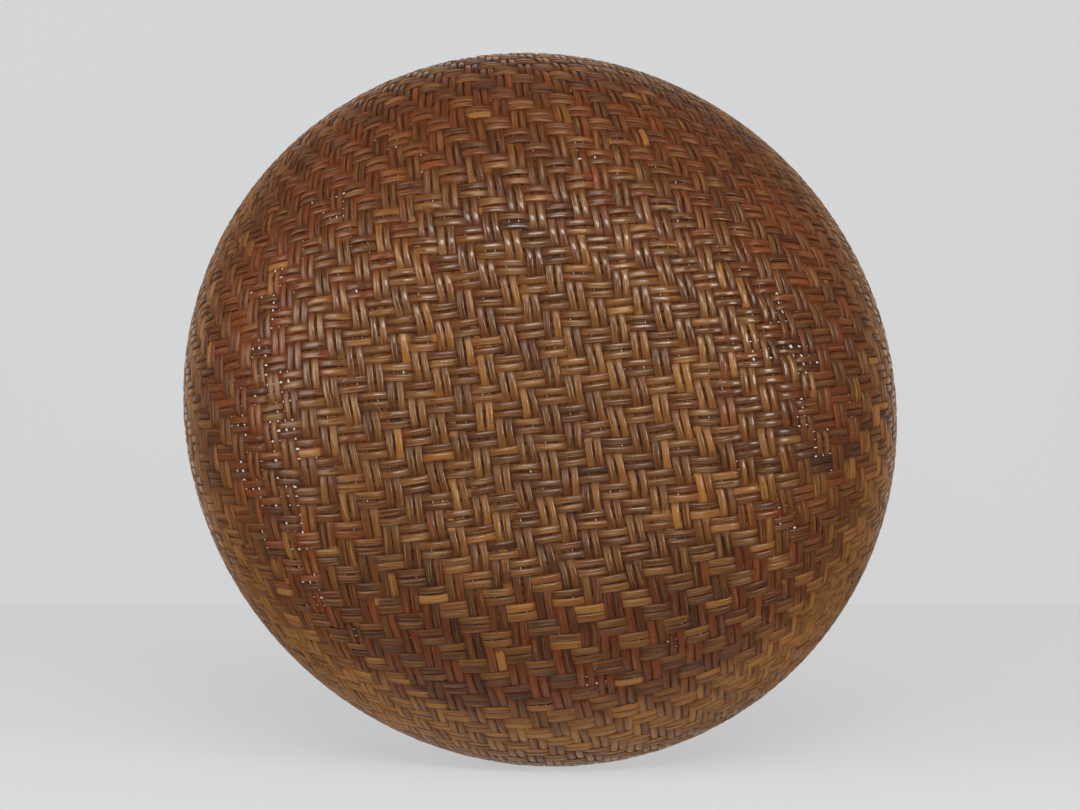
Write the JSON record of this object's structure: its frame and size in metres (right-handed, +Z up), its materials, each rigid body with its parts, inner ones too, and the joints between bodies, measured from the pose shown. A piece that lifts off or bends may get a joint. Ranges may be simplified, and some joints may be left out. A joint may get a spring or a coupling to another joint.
{
  "type": "woven basket",
  "caption": "Round deep basket of twill-woven split cane with a flat base, a rounded shoulder and an open mouth bound by hoops, a filler cane and stitches.",
  "frame": {"origin": "middle of the flat base, on the surface that the basket stands on", "axes": "+Z up out of the mouth; X and Y run diagonally across the two sets of strands at the middle of the base"},
  "size_m": [0.3592, 0.3672, 0.2148],
  "materials": {
    "woven_cane": "aged, half-round split cane, softly glossy, brown with honey and grey strands",
    "split_cane_hoop": "aged split cane with long grain, satin",
    "filler_cane": "aged cane, satin to dull",
    "stitch_cane": "split cane skin, softly glossy"
  },
  "bodies": {
    "root": {"woven_bowl": "woven_cane", "rim_hoop_outer": "split_cane_hoop", "rim_hoop_inner": "split_cane_hoop", "rim_filler_cane": "filler_cane", "rim_stitch_01": "stitch_cane", "rim_stitch_02": "stitch_cane", "rim_stitch_03": "stitch_cane", "rim_stitch_04": "stitch_cane", "rim_stitch_05": "stitch_cane", "rim_stitch_06": "stitch_cane", "rim_stitch_07": "stitch_cane", "rim_stitch_08": "stitch_cane", "rim_stitch_09": "stitch_cane", "rim_stitch_10": "stitch_cane", "rim_stitch_11": "stitch_cane", "rim_stitch_12": "stitch_cane", "rim_stitch_13": "stitch_cane", "rim_stitch_14": "stitch_cane", "rim_stitch_15": "stitch_cane", "rim_stitch_16": "stitch_cane", "rim_stitch_17": "stitch_cane", "rim_stitch_18": "stitch_cane", "rim_stitch_19": "stitch_cane", "rim_stitch_20": "stitch_cane", "rim_stitch_21": "stitch_cane", "rim_stitch_22": "stitch_cane", "rim_stitch_23": "stitch_cane", "rim_stitch_24": "stitch_cane", "rim_stitch_25": "stitch_cane", "rim_stitch_26": "stitch_cane", "rim_stitch_27": "stitch_cane", "rim_stitch_28": "stitch_cane", "rim_stitch_29": "stitch_cane", "rim_stitch_30": "stitch_cane", "rim_stitch_31": "stitch_cane", "rim_stitch_32": "stitch_cane", "rim_stitch_33": "stitch_cane", "rim_stitch_34": "stitch_cane", "rim_stitch_35": "stitch_cane", "rim_stitch_36": "stitch_cane"}
  },
  "joints": []
}
